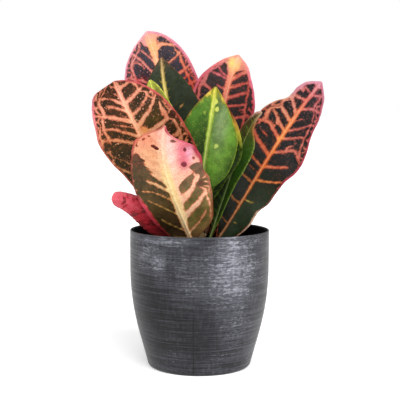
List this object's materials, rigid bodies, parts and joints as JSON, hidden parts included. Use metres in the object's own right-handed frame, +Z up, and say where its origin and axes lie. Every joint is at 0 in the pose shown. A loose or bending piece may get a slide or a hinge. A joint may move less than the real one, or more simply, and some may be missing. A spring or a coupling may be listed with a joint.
{
  "type": "potted croton",
  "caption": "House plant with broad, brightly veined leaves on one short stem, standing in a round dark brushed-metal pot of potting soil.",
  "frame": {"origin": "centre of the pot's flat underside", "axes": "+Z up through the pot and the stem; -Y is the front, towards which the pink front leaf leans; +X is to the right, towards the long right-hand leaf"},
  "size_m": [0.2327, 0.1843, 0.3405],
  "materials": {
    "pot": "satin",
    "soil": "matte",
    "stem": "matte",
    "ember": "satin",
    "salmon": "satin",
    "blush": "satin",
    "crimson": "satin",
    "green": "satin",
    "deep_green": "satin"
  },
  "bodies": {
    "root": {"pot": "pot", "soil": "soil", "stem": "stem", "leaf_drooping": "crimson", "leaf_right": "ember", "leaf_front": "blush", "leaf_low_rear_right": "salmon", "leaf_low_rear_left": "crimson", "leaf_left": "salmon", "leaf_rear_left": "ember", "leaf_rear_right": "ember", "leaf_back_left": "ember", "leaf_rear_centre": "salmon", "leaf_folded": "deep_green", "leaf_back_right": "ember", "leaf_mid": "deep_green", "leaf_young_rear": "deep_green", "leaf_lime": "green", "leaf_young": "green"}
  },
  "joints": []
}
